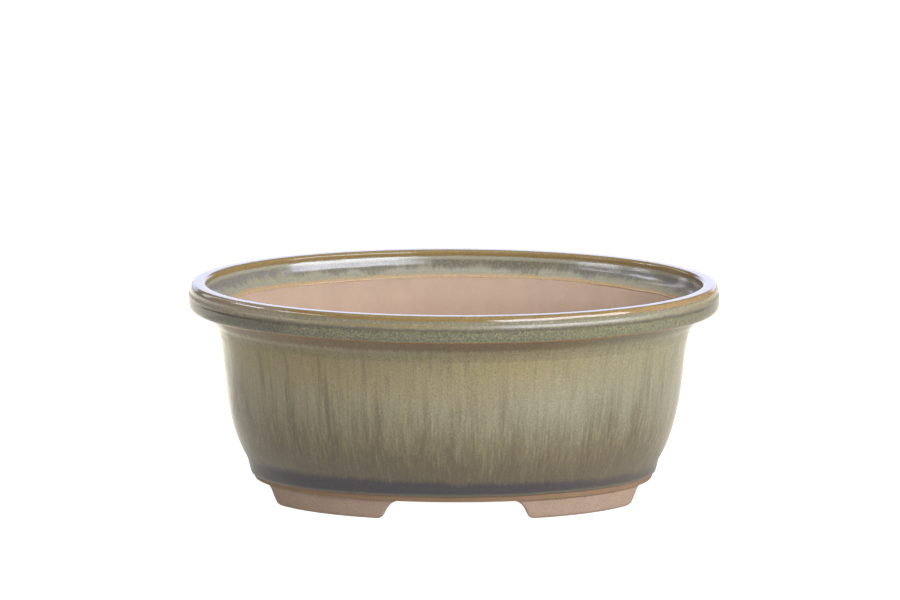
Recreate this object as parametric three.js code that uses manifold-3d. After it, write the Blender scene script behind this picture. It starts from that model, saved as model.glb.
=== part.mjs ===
// An oval bonsai pot: stoneware members luted together, under one coat of glaze.
// Millimetres, +Z up. X runs along the length. The origin is on the ground, under the middle of the pot.
import * as THREE from 'three';
import { mergeVertices } from 'three/addons/utils/BufferGeometryUtils.js';
import Module from 'manifold-3d';

// Overall size, over the glaze
const LENGTH = 210;
const WIDTH = 160;
const HEIGHT = 86.1;

// Glaze
const GLAZE = 0.7;
const GLAZE_LINE_ON_BASE = 2.2; // bare clay left above the underside of the floor
const GLAZE_LINE_IN_LIP = 1.6; // bare clay left above the foot of the lip, inside

// Lip
const LIP_HEIGHT = 9.8;
const LIP_OVERHANG = 10.7; // from the neck of the wall to the outer face
const LIP_TOP_WIDTH = 5;
const LIP_TOP_ROUND = 0.9;
const LIP_BEAD = 5; // height of the rounded lower band, from the underside to the line above it
const LIP_BEAD_ROUND = 2.8;
const LIP_LINE_DEPTH = 0.4; // of the line round the outer face, above the bead
const LIP_LINE_WIDTH = 1.4;
const LIP_INNER_DROP = 3.4; // upright inner face, before the cove
const LIP_COVE_LEAN = 0.9; // of the cove's upper end

// Wall
const WALL_TOP = 6.5; // thickness where the lip sits
const WALL_MIDDLE = 6.6; // thickness at the neck
const WALL_FOOT = 7.2; // thickness where it stands on the floor
const WALL_TAPER = 12.8; // how far the wall draws in from neck to waist
const NECK_DROP = 6; // from the underside of the lip down to the neck
const NECK_FLARE = 4.4; // how far the top of the wall flares out from the neck
const BELLY_REACH = 11.3; // pull of the belly curve at the waist, outward
const BELLY_RISE = 18.1; // and upward
const SHOULDER_REACH = 5.0; // pull of the belly curve at the neck, inward
const SHOULDER_DROP = 9.9; // and downward
const INNER_BELLY_REACH = 10; // pull of the inner face at its foot, outward
const INNER_CORNER = 5; // fillet between wall and floor

// Floor
const FLOOR = 8;
const BASE_DRAW_IN = 2.2; // of the rounded edge, from the waist to its lower corner
const BASE_BULGE = 0.3;
const DRAIN_HOLE = 18;
const DRAIN_SPACING = 76;
const WIRE_HOLE = 5;
const WIRE_SPACING_X = 30;
const WIRE_SPACING_Y = 44;

// Feet
const FOOT_HEIGHT = 8;
const FOOT_WIDTH = 11;
const FOOT_INSET = 1; // behind the lower corner of the base
const FOOT_DRAFT = 1.7;
const FOOT_ROUND = 1.6;
const FRONT_GAP = 58; // between the feet at the ground, on the long sides
const FRONT_LEAN = 3.8; // how far the gap narrows on each side from the ground to the floor
const END_GAP = 40; // between the feet at the ends of the pot
const END_LEAN = 1.8;
const GAP_FILLET = 4;
const GAP_STEP = 0.4; // clay left at the tip of each fillet
const GAP_ROUND = 2;

// Fineness
const RING_STEPS = 60;
const CURVE_STEPS = 3;
const BELLY_STEPS = 6;
const INNER_STEPS = 4;
const HOLE_STEPS = 24;
const OVERCUT = 1;

// Levels and half-lengths that follow from the sizes. A half-length is measured on the long axis.
const STRETCH = (LENGTH - WIDTH) / 2;
const FLOOR_TOP = FOOT_HEIGHT + FLOOR;
const LIP_TOP = HEIGHT - GLAZE;
const LIP_SEAT = LIP_TOP - LIP_HEIGHT;
const LIP_REACH = LENGTH / 2 - GLAZE;
const NECK_REACH = LIP_REACH - LIP_OVERHANG;
const NECK_LEVEL = LIP_SEAT - NECK_DROP;
const WAIST_REACH = NECK_REACH - WALL_TAPER;
const BASE_REACH = WAIST_REACH - BASE_DRAW_IN;
const SEAT_REACH = NECK_REACH + NECK_FLARE;
const THROAT_REACH = SEAT_REACH - WALL_TOP;

const CLAY = { color: 0xc3a58d, roughness: 0.85, metalness: 0 };
const FOOT_CLAY = { color: 0xa08a79, roughness: 0.85, metalness: 0 };
const OLIVE_GLAZE = { color: 0x7f765c, roughness: 0.15, metalness: 0 };

const wasm = await Module();
wasm.setup();

// The point at an angle on the oval ring whose half-length is reach. A smaller ring is drawn in by as much at
// the ends as on the sides, so a wall keeps its thickness all round.
function ovalPoint(reach, angle) {
  return [reach * Math.cos(angle), (reach - STRETCH) * Math.sin(angle)];
}

// Carries a closed section, drawn anticlockwise as (half-length, level), round the oval.
function sweepOval(section) {
  const count = section.length;
  const positions = [];
  for (let step = 0; step < RING_STEPS; step += 1) {
    const angle = (2 * Math.PI * step) / RING_STEPS;
    for (const { x: reach, y: level } of section) {
      positions.push(...ovalPoint(reach, angle), level);
    }
  }
  const corner = (step, place) => (step % RING_STEPS) * count + (place % count);
  const distance = (first, second) => Math.hypot(
    positions[3 * first] - positions[3 * second],
    positions[3 * first + 1] - positions[3 * second + 1],
    positions[3 * first + 2] - positions[3 * second + 2],
  );
  const index = [];
  for (let step = 0; step < RING_STEPS; step += 1) {
    for (let place = 0; place < count; place += 1) {
      const a = corner(step, place);
      const b = corner(step + 1, place);
      const c = corner(step + 1, place + 1);
      const d = corner(step, place + 1);
      // The shorter diagonal is the same from both sides, so that two members that touch share their facets.
      if (distance(a, c) < distance(b, d)) {
        index.push(a, b, c, a, c, d);
      } else {
        index.push(a, b, d, b, c, d);
      }
    }
  }
  const geometry = new THREE.BufferGeometry();
  geometry.setAttribute('position', new THREE.Float32BufferAttribute(positions, 3));
  geometry.setIndex(index);
  return geometry;
}

function toSolid(geometry) {
  const bare = geometry.clone();
  bare.deleteAttribute('normal');
  bare.deleteAttribute('uv');
  const merged = mergeVertices(bare);
  return new wasm.Manifold(new wasm.Mesh({
    numProp: 3,
    vertProperties: merged.attributes.position.array,
    triVerts: new Uint32Array(merged.index.array),
  }));
}

function toGeometry(solid) {
  const mesh = solid.getMesh();
  const geometry = new THREE.BufferGeometry();
  geometry.setAttribute('position', new THREE.BufferAttribute(new Float32Array(mesh.vertProperties), 3));
  geometry.setIndex(new THREE.BufferAttribute(new Uint32Array(mesh.triVerts), 1));
  return geometry;
}

// Lines of the section, each drawn from below upward or from outside inward.

function baseEdgeLine() {
  const glazeLevel = FOOT_HEIGHT + GLAZE_LINE_ON_BASE;
  const drawnIn = BASE_DRAW_IN * (1 - GLAZE_LINE_ON_BASE / FLOOR);
  const glazeStart = new THREE.Vector2(WAIST_REACH - drawnIn + BASE_BULGE / 2, glazeLevel);
  const bare = [new THREE.Vector2(BASE_REACH, FOOT_HEIGHT), glazeStart];
  const bead = new THREE.QuadraticBezierCurve(
    glazeStart,
    new THREE.Vector2((glazeStart.x + WAIST_REACH) / 2 + BASE_BULGE, (glazeLevel + FLOOR_TOP) / 2),
    new THREE.Vector2(WAIST_REACH, FLOOR_TOP),
  );
  return { bare, glazed: bead.getPoints(CURVE_STEPS) };
}

function outerWallLine() {
  const belly = new THREE.CubicBezierCurve(
    new THREE.Vector2(WAIST_REACH, FLOOR_TOP),
    new THREE.Vector2(WAIST_REACH + BELLY_REACH, FLOOR_TOP + BELLY_RISE),
    new THREE.Vector2(NECK_REACH - SHOULDER_REACH, NECK_LEVEL - SHOULDER_DROP),
    new THREE.Vector2(NECK_REACH, NECK_LEVEL),
  );
  const flare = new THREE.QuadraticBezierCurve(
    new THREE.Vector2(NECK_REACH, NECK_LEVEL),
    new THREE.Vector2(NECK_REACH + NECK_FLARE / 3, LIP_SEAT - NECK_FLARE),
    new THREE.Vector2(SEAT_REACH, LIP_SEAT),
  );
  return [...belly.getPoints(BELLY_STEPS), ...flare.getPoints(CURVE_STEPS).slice(1)];
}

function innerWallLine() {
  const footReach = WAIST_REACH - WALL_FOOT;
  const neckReach = NECK_REACH - WALL_MIDDLE;
  const cornerTop = new THREE.Vector2(footReach, FLOOR_TOP + INNER_CORNER);
  const corner = new THREE.QuadraticBezierCurve(
    new THREE.Vector2(footReach - INNER_CORNER, FLOOR_TOP),
    new THREE.Vector2(footReach, FLOOR_TOP),
    cornerTop,
  );
  const face = new THREE.CubicBezierCurve(
    cornerTop,
    new THREE.Vector2(footReach + INNER_BELLY_REACH, FLOOR_TOP + BELLY_RISE),
    new THREE.Vector2(neckReach - SHOULDER_REACH, NECK_LEVEL - SHOULDER_DROP),
    new THREE.Vector2(neckReach, NECK_LEVEL),
  );
  const throat = new THREE.Vector2(THROAT_REACH, LIP_SEAT);
  return [...corner.getPoints(CURVE_STEPS), ...face.getPoints(INNER_STEPS).slice(1), throat];
}

function lipLine() {
  const lineLevel = LIP_SEAT + LIP_BEAD;
  const innerReach = LIP_REACH - LIP_TOP_WIDTH;
  const coveLevel = LIP_TOP - LIP_INNER_DROP;
  const glazeEnd = new THREE.Vector2(THROAT_REACH + GLAZE_LINE_IN_LIP, LIP_SEAT + GLAZE_LINE_IN_LIP);
  const lip = new THREE.Path();
  lip.moveTo(SEAT_REACH, LIP_SEAT);
  lip.lineTo(LIP_REACH - LIP_BEAD_ROUND, LIP_SEAT);
  lip.quadraticCurveTo(LIP_REACH, LIP_SEAT, LIP_REACH, LIP_SEAT + LIP_BEAD_ROUND);
  lip.lineTo(LIP_REACH, lineLevel - LIP_LINE_WIDTH / 2);
  lip.lineTo(LIP_REACH - LIP_LINE_DEPTH, lineLevel);
  lip.lineTo(LIP_REACH, lineLevel + LIP_LINE_WIDTH / 2);
  lip.lineTo(LIP_REACH, LIP_TOP - LIP_TOP_ROUND);
  lip.quadraticCurveTo(LIP_REACH, LIP_TOP, LIP_REACH - LIP_TOP_ROUND, LIP_TOP);
  lip.lineTo(innerReach + LIP_TOP_ROUND, LIP_TOP);
  lip.quadraticCurveTo(innerReach, LIP_TOP, innerReach, LIP_TOP - LIP_TOP_ROUND);
  lip.lineTo(innerReach, coveLevel);
  lip.quadraticCurveTo(innerReach - LIP_COVE_LEAN, (coveLevel + glazeEnd.y) / 2, glazeEnd.x, glazeEnd.y);
  return { glazed: lip.getPoints(CURVE_STEPS), bare: [new THREE.Vector2(THROAT_REACH, LIP_SEAT)] };
}

// Lays a coat over a line of the section. It tapers to nothing at both ends of the line.
function coatSection(line, thickness) {
  const outside = [];
  for (let place = 1; place < line.length - 1; place += 1) {
    const before = line[place].clone().sub(line[place - 1]).normalize();
    const after = line[place + 1].clone().sub(line[place]).normalize();
    const along = before.clone().add(after).normalize();
    const mitre = thickness / along.dot(before);
    outside.push(new THREE.Vector2(line[place].x + along.y * mitre, line[place].y - along.x * mitre));
  }
  return [...outside, ...[...line].reverse()];
}

function withoutRepeats(line) {
  return line.filter((point, place) => place === 0 || point.distanceTo(line[place - 1]) > 1e-6);
}

// The floor: an oval blank, turned to the rounded edge and bored.
function floorGeometry(edge) {
  const outerReach = WAIST_REACH + OVERCUT;
  const outline = new THREE.Shape();
  outline.absellipse(0, 0, outerReach, outerReach - STRETCH, 0, 2 * Math.PI);
  const extent = { depth: FLOOR, bevelEnabled: false, curveSegments: RING_STEPS };
  const blank = new THREE.ExtrudeGeometry(outline, extent);
  blank.translate(0, 0, FOOT_HEIGHT);

  const first = edge[0];
  const last = edge[edge.length - 1];
  const beyond = outerReach + OVERCUT;
  const waste = [
    ...[...edge].reverse(),
    new THREE.Vector2(first.x, FOOT_HEIGHT - OVERCUT),
    new THREE.Vector2(beyond, FOOT_HEIGHT - OVERCUT),
    new THREE.Vector2(beyond, FLOOR_TOP + OVERCUT),
    new THREE.Vector2(last.x, FLOOR_TOP + OVERCUT),
  ];
  let solid = toSolid(blank).subtract(toSolid(sweepOval(waste)));

  const bore = (diameter, x, y) => {
    const drill = new THREE.CylinderGeometry(diameter / 2, diameter / 2, FLOOR + 2 * OVERCUT, HOLE_STEPS);
    drill.rotateX(Math.PI / 2);
    drill.translate(x, y, FOOT_HEIGHT + FLOOR / 2);
    solid = solid.subtract(toSolid(drill));
  };
  for (const side of [-1, 1]) {
    bore(DRAIN_HOLE, (side * DRAIN_SPACING) / 2, 0);
    for (const end of [-1, 1]) {
      bore(WIRE_HOLE, (end * WIRE_SPACING_X) / 2, (side * WIRE_SPACING_Y) / 2);
    }
  }
  return toGeometry(solid);
}

// The arched gap between two feet, as a block that runs right under the pot along Y.
function gapCutter(widthAtGround, lean) {
  const ground = widthAtGround / 2;
  const ceiling = FOOT_HEIGHT - GAP_STEP;
  const flankAt = (level) => ground - (lean * level) / FOOT_HEIGHT;
  const arch = new THREE.Shape();
  arch.moveTo(ground + GAP_ROUND, -OVERCUT);
  arch.lineTo(ground + GAP_ROUND, 0);
  arch.quadraticCurveTo(ground, 0, flankAt(GAP_ROUND), GAP_ROUND);
  arch.lineTo(flankAt(ceiling - GAP_FILLET), ceiling - GAP_FILLET);
  arch.quadraticCurveTo(flankAt(ceiling), ceiling, flankAt(ceiling) - GAP_FILLET, ceiling);
  arch.lineTo(flankAt(ceiling) - GAP_FILLET, FOOT_HEIGHT + OVERCUT);
  const half = arch.getPoints(CURVE_STEPS);
  const mirrored = half.map((point) => new THREE.Vector2(-point.x, point.y)).reverse();
  const outline = new THREE.Shape([...half, ...mirrored]);
  const block = new THREE.ExtrudeGeometry(outline, { depth: LENGTH, bevelEnabled: false });
  block.rotateX(Math.PI / 2);
  block.translate(0, LENGTH / 2, 0);
  return block;
}

// The four feet, cut from one oval ring by a gap along each axis.
function footGeometries() {
  const topReach = BASE_REACH - FOOT_INSET;
  const groundReach = topReach - FOOT_DRAFT;
  const inner = topReach - FOOT_WIDTH;
  const ring = new THREE.Path();
  ring.moveTo(topReach, FOOT_HEIGHT);
  ring.lineTo(inner, FOOT_HEIGHT);
  ring.lineTo(inner, FOOT_ROUND);
  ring.quadraticCurveTo(inner, 0, inner + FOOT_ROUND, 0);
  ring.lineTo(groundReach - FOOT_ROUND, 0);
  ring.quadraticCurveTo(groundReach, 0, groundReach + (FOOT_DRAFT * FOOT_ROUND) / FOOT_HEIGHT, FOOT_ROUND);
  const section = withoutRepeats(ring.getPoints(CURVE_STEPS));
  const frontGap = gapCutter(FRONT_GAP, FRONT_LEAN);
  const endGap = gapCutter(END_GAP, END_LEAN);
  endGap.rotateZ(Math.PI / 2);
  const feet = toSolid(sweepOval(section)).subtract(toSolid(frontGap)).subtract(toSolid(endGap));
  return feet.decompose().map(toGeometry);
}

function addMember(pot, name, geometry, finish) {
  const mesh = new THREE.Mesh(geometry, new THREE.MeshStandardMaterial(finish));
  mesh.name = name;
  pot.add(mesh);
}

const baseEdge = baseEdgeLine();
const outerWall = outerWallLine();
const innerWall = innerWallLine();
const lip = lipLine();
const glazedLine = withoutRepeats([...baseEdge.glazed, ...outerWall, ...lip.glazed]);

const pot = new THREE.Group();
addMember(pot, 'floor_slab', floorGeometry(withoutRepeats([...baseEdge.bare, ...baseEdge.glazed])), CLAY);
addMember(pot, 'wall', sweepOval([...outerWall, ...[...innerWall].reverse()]), CLAY);
addMember(pot, 'lip', sweepOval([...lip.glazed, ...lip.bare]), CLAY);
addMember(pot, 'glaze_coat', sweepOval(coatSection(glazedLine, GLAZE)), OLIVE_GLAZE);
for (const geometry of footGeometries()) {
  geometry.computeBoundingBox();
  const centre = geometry.boundingBox.getCenter(new THREE.Vector3());
  const depth = centre.y < 0 ? 'front' : 'back';
  const side = centre.x < 0 ? 'left' : 'right';
  addMember(pot, `foot_${depth}_${side}`, geometry, FOOT_CLAY);
}

export default pot;
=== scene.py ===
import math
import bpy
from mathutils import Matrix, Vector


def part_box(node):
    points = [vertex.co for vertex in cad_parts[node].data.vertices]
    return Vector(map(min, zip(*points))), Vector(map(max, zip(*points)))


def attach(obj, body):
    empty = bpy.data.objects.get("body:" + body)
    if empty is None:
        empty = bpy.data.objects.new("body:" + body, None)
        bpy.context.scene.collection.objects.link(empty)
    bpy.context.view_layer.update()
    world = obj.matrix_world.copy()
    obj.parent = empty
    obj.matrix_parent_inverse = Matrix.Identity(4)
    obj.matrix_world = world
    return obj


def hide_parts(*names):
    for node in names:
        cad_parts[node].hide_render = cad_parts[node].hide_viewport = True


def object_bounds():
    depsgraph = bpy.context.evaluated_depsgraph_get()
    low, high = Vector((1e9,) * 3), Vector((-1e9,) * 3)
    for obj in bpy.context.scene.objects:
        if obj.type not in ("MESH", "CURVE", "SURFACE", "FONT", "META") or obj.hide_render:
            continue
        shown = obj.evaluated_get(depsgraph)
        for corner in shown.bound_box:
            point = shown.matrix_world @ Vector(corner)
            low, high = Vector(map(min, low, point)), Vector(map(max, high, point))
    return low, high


bl_info = {
    "name": "Oval bonsai pot",
    "version": (1, 0, 0),
    "blender": (4, 5, 0),
    "location": "View3D > Sidebar > Pot",
    "description": "A glazed stoneware bonsai pot: its clay members, its coat of glaze and a plain studio",
    "category": "Add Mesh",
}

import bmesh
import bpy
import numpy as np
from bpy.props import FloatProperty, FloatVectorProperty, PointerProperty
from bpy.types import Operator, Panel, PropertyGroup
from mathutils import Matrix, Vector
from mathutils.geometry import delaunay_2d_cdt

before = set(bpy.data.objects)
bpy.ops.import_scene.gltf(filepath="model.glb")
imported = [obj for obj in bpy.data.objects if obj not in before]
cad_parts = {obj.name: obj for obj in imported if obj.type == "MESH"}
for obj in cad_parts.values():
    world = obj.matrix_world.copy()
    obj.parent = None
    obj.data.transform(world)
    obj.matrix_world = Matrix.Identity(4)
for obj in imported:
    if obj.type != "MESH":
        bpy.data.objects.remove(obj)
CAD_LOW, CAD_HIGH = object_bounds()
LIP_LOW, LIP_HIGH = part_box("lip")
FLOOR_LOW, FLOOR_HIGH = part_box("floor_slab")
WALL_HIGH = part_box("wall")[1]
GLAZE_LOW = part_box("glaze_coat")[0]

MM = 0.001
BODY = "root"

# Fineness of the surfaces
LINE_STEP = 0.05 * MM
GLAZE_AROUND = 440
GLAZE_ROWS = 180
GLAZE_BACK_ROWS = 24
CLAY_AROUND = 360
FLOOR_GRID = 4.0 * MM
NET_TOLERANCE = 0.00005 * MM
HOLE_STEPS = 56
WALL_OUTER_ROWS = 40
WALL_INNER_ROWS = 90
LIP_ROWS = 110
BASE_ROWS = 30
BASE_CORNER_ROWS = 6
QUARTER_STEPS = 7
FOOT_SIDE_STEPS = 13
FOOT_LONG_STEPS = 26
FOOT_SHORT_STEPS = 8
FOOT_CAP_SCALES = np.linspace(0.04, 0.9, 8)
FOOT_LENGTH = 60 * MM
MERGE_DISTANCE = 0.01 * MM
SHARP_ANGLE = math.radians(38)

# Slow waves round the pot: how many round it, how high in millimetres, and where they start
LOWER_EDGE_WAVES = ((1, 0.40, 1.57), (3, 0.10, 0.4), (7, 0.07, 2.1), (17, 0.05, 0.9), (41, 0.03, 4.0))
INNER_EDGE_WAVES = (
    (2, 0.22, 2.6),
    (3, 0.34, 0.3),
    (5, 0.25, 4.4),
    (9, 0.16, 1.1),
    (23, 0.10, 0.2),
    (47, 0.06, 3.0),
)
COAT_WAVES = ((3, 0.03, 0.2), (7, 0.025, 1.9), (13, 0.02, 3.3), (29, 0.012, 5.0))

# How far in from the coat's edges they wander, and how fast the coat's waves turn with the run, in 1 / m
EDGE_FADE = 3 * MM
COAT_TWIST = 35

# Brown flames round the foot of the wall: how many, the height they share, and how high and how wide each
# of them is, in millimetres
FLAME_SEED = 13685
FLAME_COUNT = 54
FLAME_FOOT = 8.0
FLAME_HEIGHTS = (2.0, 19.0)
FLAME_SPREADS = (2.5, 8.0)


def size(label, millimetres, what):
    """A length that a user can change. Its default is given in millimetres."""
    return FloatProperty(
        name=label, description=what, default=millimetres * MM, precision=5, subtype="DISTANCE", unit="LENGTH"
    )


def linear(channel):
    """The linear light of a screen colour's channel, from 0 to 255: its share of 255 divided by 12.92 up to
    0.04045, and ((share + 0.055) / 1.055)^2.4 above."""
    share = channel / 255
    return share / 12.92 if share <= 0.04045 else ((share + 0.055) / 1.055) ** 2.4


def colour(label, red, green, blue, what):
    """A colour that a user can change. Its default is given as a screen colour, from 0 to 255."""
    default = (linear(red), linear(green), linear(blue))
    return FloatVectorProperty(
        name=label, description=what, default=default, size=3, min=0.0, max=1.0, subtype="COLOR"
    )


class PotSizes(PropertyGroup):
    """Sizes of the pot's section, floor and feet. A reach is a half-length, on the pot's long axis."""

    stretch: size("Stretch", (CAD_HIGH.x - CAD_HIGH.y) / MM, "How much longer than wide each half is")
    lip_reach: size("Lip reach", LIP_HIGH.x / MM, "Of the lip's lower band, bare of glaze")
    lip_top: size("Lip top", LIP_HIGH.z / MM, "Level of the top of the lip, bare of glaze")
    lip_seat: size("Lip seat", LIP_LOW.z / MM, "Level at which the lip sits on the wall")
    seat_reach: size("Seat reach", WALL_HIGH.x / MM, "Of the wall's outer top edge")
    waist_reach: size("Waist reach", FLOOR_HIGH.x / MM, "Of the crease above the base")
    floor_top: size("Floor top", FLOOR_HIGH.z / MM, "Level of the floor inside the pot")
    floor_bottom: size("Floor bottom", FLOOR_LOW.z / MM, "Level of the underside, on top of the feet")
    glaze_level: size("Glaze line", GLAZE_LOW.z / MM, "Level of the lower edge of the glaze")
    glaze: size("Glaze", (CAD_HIGH.x - LIP_HIGH.x) / MM, "Thickness of the coat")
    glaze_roll: size("Glaze roll", 0.8, "How far the coat's rounded edge reaches in from its end")
    glaze_feather: size("Glaze feather", 2.6, "How far the coat thins towards its inner edge")
    bare_throat: size("Bare throat", 0.35, "Bare clay between the glaze and the foot of the lip, inside")
    lip_top_width: size("Lip top width", 5.5, "Of the lip's upper band, from its inner to its outer face")
    lip_top_round: size("Lip top rounding", 0.22, "Of both upper edges of the lip")
    lip_brow: size("Lip brow", 1.35, "Height of the leaning strip under the lip's outer top edge")
    lip_brow_lean: size("Lip brow lean", 0.50, "How far that strip leans in")
    lip_set_back: size("Lip set-back", 0.54, "Of the upper band behind the lower one")
    lip_shoulder: size("Lip shoulder", 1.2, "Height of the slope below the upper band")
    lip_bead: size("Lip bead", 5.0, "Height of the lip's lower band")
    lip_bead_round: size("Lip bead rounding", 2.8, "Of the lower edge of the lip")
    lip_line_depth: size("Lip line depth", 0.25, "Of the line between the two bands of the lip")
    lip_line_width: size("Lip line width", 1.4, "Of the line between the two bands of the lip")
    lip_inner_drop: size("Lip inner drop", 2.0, "From the top of the lip to its ledge, inside")
    lip_ledge: size("Lip ledge", 1.8, "Height of the leaning ledge above the cove")
    lip_ledge_lean: size("Lip ledge lean", 0.72, "How far that ledge leans in")
    wall_top: size("Wall top", 6.5, "Thickness of the wall where the lip sits")
    wall_middle: size("Wall middle", 6.6, "Thickness of the wall at the neck")
    wall_foot: size("Wall foot", 7.2, "Thickness of the wall on the floor")
    neck_drop: size("Neck drop", 6.0, "From the lip's underside to the neck")
    neck_flare: size("Neck flare", 4.4, "How far the wall flares out above the neck")
    belly_reach: size("Belly reach", 11.3, "Outward pull of the wall's curve at the waist")
    belly_rise: size("Belly rise", 18.1, "Upward pull of the wall's curve at the waist")
    shoulder_reach: size("Shoulder reach", 5.0, "Inward pull of the wall's curve at the neck")
    shoulder_drop: size("Shoulder drop", 9.9, "Downward pull of the wall's curve at the neck")
    inner_belly_reach: size("Inner belly reach", 10.0, "Outward pull of the inner face at its foot")
    inner_corner: size("Inner corner", 5.0, "Fillet between wall and floor")
    neck_ledge: size("Neck ledge", 66.0, "Level of the fine ridge where the glaze thickens, under the neck")
    neck_thinning: size("Neck thinning", 0.1, "How much thinner the coat is above that ridge")
    base_draw_in: size("Base draw-in", 2.2, "From the waist to the lower corner of the base")
    base_bulge: size("Base bulge", 0.3, "Of the rounded edge of the base")
    base_round: size("Base rounding", 0.5, "Of the lower corner of the base")
    drain_hole: size("Drain hole", 18.0, "Diameter")
    drain_spacing: size("Drain spacing", 76.0, "Between the two drain holes")
    wire_hole: size("Wire hole", 5.0, "Diameter")
    wire_spacing_x: size("Wire spacing along", 30.0, "Between wire holes, along the pot")
    wire_spacing_y: size("Wire spacing across", 44.0, "Between wire holes, across the pot")
    hole_round: size("Hole rounding", 0.6, "Of the edges of every hole")
    foot_width: size("Foot width", 11.0, "From the inner to the outer face of a foot, at its top")
    foot_inset: size("Foot inset", 1.0, "Behind the lower corner of the base")
    foot_draft: size("Foot draft", 1.7, "How far a foot's outer face leans in towards the ground")
    foot_round: size("Foot rounding", 1.6, "Of a foot's lower edges")
    foot_corner: size("Foot corner", 1.2, "Rounding of a foot's upright corners")
    front_gap: size("Front gap", 58.0, "Between the feet on the long sides, at the ground")
    front_lean: size("Front lean", 3.8, "How far the front gap narrows on each side, up to the floor")
    end_gap: size("End gap", 40.0, "Between the feet at the ends, at the ground")
    end_lean: size("End lean", 1.8, "How far the end gap narrows on each side, up to the floor")
    gap_fillet: size("Gap fillet", 4.0, "Between a foot's end and the floor, on the long sides")
    end_fillet: size("End fillet", 2.4, "Between a foot's end and the floor, at the ends")
    gap_round: size("Gap rounding", 2.0, "Of a foot's end at the ground")


class GlazeColours(PropertyGroup):
    """Colours of the glaze, from where it is thin to where it has pooled."""

    amber: colour("Amber", 146, 121, 76, "Thin glaze on an edge")
    honey: colour("Honey", 198, 166, 126, "Thin glaze beside the bare clay")
    # Rust is also laid on the neck under the lip, partly as painted shade of the lip's shadow
    rust: colour("Rust", 112, 83, 50, "Thin glaze under the lip")
    brown: colour("Brown grey", 103, 91, 71, "Glaze between the pale runs")
    ochre: colour("Ochre", 154, 132, 88, "Thin glaze on the top of the lip and inside it")
    tan: colour("Tan", 152, 138, 99, "The veil on the upper wall")
    sage: colour("Sage", 149, 141, 110, "Greener parts of the veil")
    straw: colour("Straw", 126, 117, 82, "Short fine runs on the lower wall")
    ash: colour("Ash", 148, 142, 121, "Greyer parts of the veil, halfway down the wall")
    taupe: colour("Taupe", 160, 146, 124, "Browner glaze at one end of the lip")
    fog: colour("Fog", 138, 132, 110, "Milky glaze on the lip's upper band")
    pale: colour("Pale", 172, 168, 150, "Whitish grains, runs and flames")
    moss: colour("Moss", 136, 134, 100, "Green grains on the lip's lower band")
    slate: colour("Slate", 90, 84, 80, "Grey glaze between the green grains")
    olive: colour("Olive", 106, 99, 84, "Fringe of the glaze at the base, and the line in the lip")
    mist: colour("Mist", 120, 115, 101, "Grey patches in the cove of the lip")
    haze: colour("Haze", 132, 130, 130, "Cooler patches in the cove, at the ends of the pot")
    russet: colour("Russet", 136, 98, 54, "Thin glaze on the lower edge of the lip")
    pool: colour("Pool", 68, 63, 66, "Glaze that has run together and gone dark")


class ClayColours(PropertyGroup):
    """Colours of the bare fired clay."""

    inside: colour("Inside", 191, 165, 146, "Smooth clay inside the pot")
    toasted: colour("Toasted", 147, 119, 94, "Clay beside the glaze")
    feet: colour("Feet", 172, 149, 131, "Rough clay of the feet")
    speck: colour("Speck", 112, 90, 74, "Dark grains in the clay")


# Lines of the section


def bezier(controls):
    """Points of the curve on any number of control points: the sum of each control point times its Bernstein
    weight, binomial(n, k) (1 - t)^(n - k) t^k, with t in even steps."""
    controls = np.array(controls, float)
    order = np.arange(len(controls))
    degree = len(controls) - 1
    span = np.linalg.norm(np.diff(controls, axis=0), axis=1).sum()
    t = np.linspace(0, 1, max(2, int(span / LINE_STEP)))[:, None]
    counts = np.array([math.comb(degree, k) for k in order])
    return (counts * (1 - t) ** (degree - order) * t**order) @ controls


def softened(line, width):
    """A running mean that rounds every corner of an evenly stepped line. Its weights are
    exp(-(distance / width)^2 / 2), out to three widths."""
    count = int(3 * width / LINE_STEP)
    weight = np.exp(-0.5 * (np.arange(-count, count + 1) * LINE_STEP / width) ** 2)
    padded = np.pad(line, ((count, count), (0, 0)), mode="edge")
    return np.stack([np.convolve(part, weight / weight.sum(), "valid") for part in padded.T], axis=1)


def bell(value, centre, width):
    """A share that falls off from 1 to both sides of a centre: exp(-((value - centre) / width)^2)."""
    return np.exp(-(((value - centre) / width) ** 2))


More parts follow.
